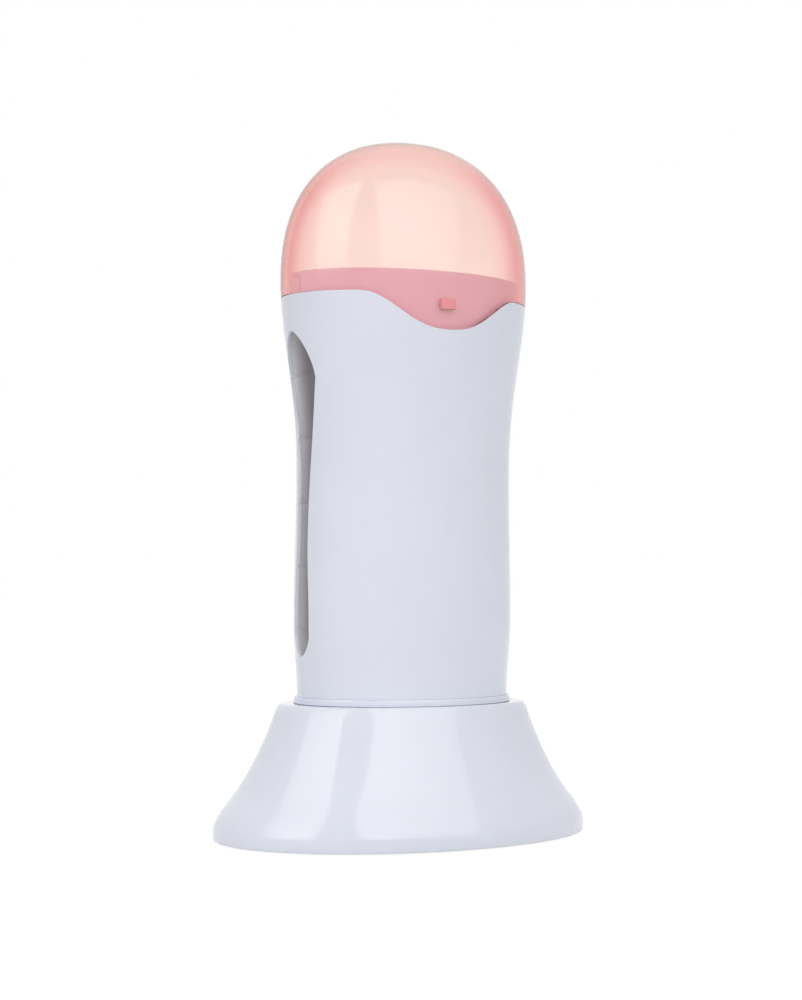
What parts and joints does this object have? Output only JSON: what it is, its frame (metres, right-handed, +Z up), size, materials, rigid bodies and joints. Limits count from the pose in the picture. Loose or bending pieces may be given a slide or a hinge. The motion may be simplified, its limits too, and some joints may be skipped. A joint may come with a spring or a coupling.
{
  "type": "roll-on wax heater",
  "caption": "Handheld roll-on wax heater: an oval white handset with side level windows and a translucent pink lift-off cap, standing in a flared white base.",
  "frame": {"origin": "middle of the base, on the surface that its rubber feet stand on", "axes": "+X along the wide way of the oval, -Y towards the front, where the cap's catch is, +Z up"},
  "size_m": [0.111, 0.0766, 0.1946],
  "materials": {
    "cap_pink": "polished translucent pink",
    "casing_white": "polished cool white",
    "base_white": "polished cool white",
    "collar_white": "satin white",
    "window_clear": "polished clear",
    "sleeve_aluminium": "drawn, satin",
    "seat_dark": "heat-resistant, matt",
    "heater_ceramic": "silvered ceramic",
    "film_amber": "amber insulating film",
    "clip_steel": "spring strip",
    "fuse_cream": "ceramic-like, matt",
    "lead_brown": "lead sleeving",
    "lead_blue": "lead sleeving",
    "contact_brass": "plated contact",
    "screw_steel": "zinc-plated",
    "spring_steel": "bright wire",
    "block_dark": "moulded, matt",
    "plate_grey": "moulded, matt",
    "bush_white": "soft moulded",
    "terminal_cream": "moulded, matt",
    "foot_rubber": "soft, matt"
  },
  "bodies": {
    "base": {"base_shell": "base_white", "base_plate": "plate_grey", "contact_block": "block_dark", "contact_tags": "contact_brass", "block_screws": "screw_steel", "terminal_block": "terminal_cream", "base_lead_live": "lead_brown", "base_lead_neutral": "lead_blue", "cord_bush": "bush_white", "base_screws": "screw_steel", "feet": "foot_rubber"},
    "handset": {"front_shell": "casing_white", "back_shell": "casing_white", "collar": "collar_white", "window_left": "window_clear", "window_right": "window_clear", "heat_sleeve": "sleeve_aluminium", "cartridge_seat": "seat_dark", "heater_front": "heater_ceramic", "heater_back": "heater_ceramic", "heater_films": "film_amber", "heater_clips": "clip_steel", "thermal_fuse": "fuse_cream", "handset_lead_live": "lead_brown", "handset_lead_neutral": "lead_blue", "fuse_lead": "lead_brown", "bottom_cover": "casing_white", "handset_contacts": "contact_brass", "shell_screws": "screw_steel", "tie_screws": "screw_steel"},
    "cap": {"cap": "cap_pink"},
    "pin_live": {"pin_live": "contact_brass", "spring_live": "spring_steel"},
    "pin_neutral": {"pin_neutral": "contact_brass", "spring_neutral": "spring_steel"}
  },
  "joints": [
    {"name": "handset_lift", "type": "slide", "parent": "base", "child": "handset", "axis": [0, 0, 1], "range_m": [0, 0.06]},
    {"name": "cap_lift", "type": "slide", "parent": "handset", "child": "cap", "axis": [0, 0, 1], "range_m": [0, 0.06]},
    {"name": "pin_live_press", "type": "slide", "parent": "base", "child": "pin_live", "axis": [0, 0, 1], "range_m": [-0.0015, 0], "stiffness_N_per_m": 300, "springref_m": 0.0015, "deforming": ["spring_live"]},
    {"name": "pin_neutral_press", "type": "slide", "parent": "base", "child": "pin_neutral", "axis": [0, 0, 1], "range_m": [-0.0015, 0], "stiffness_N_per_m": 300, "springref_m": 0.0015, "deforming": ["spring_neutral"]}
  ]
}
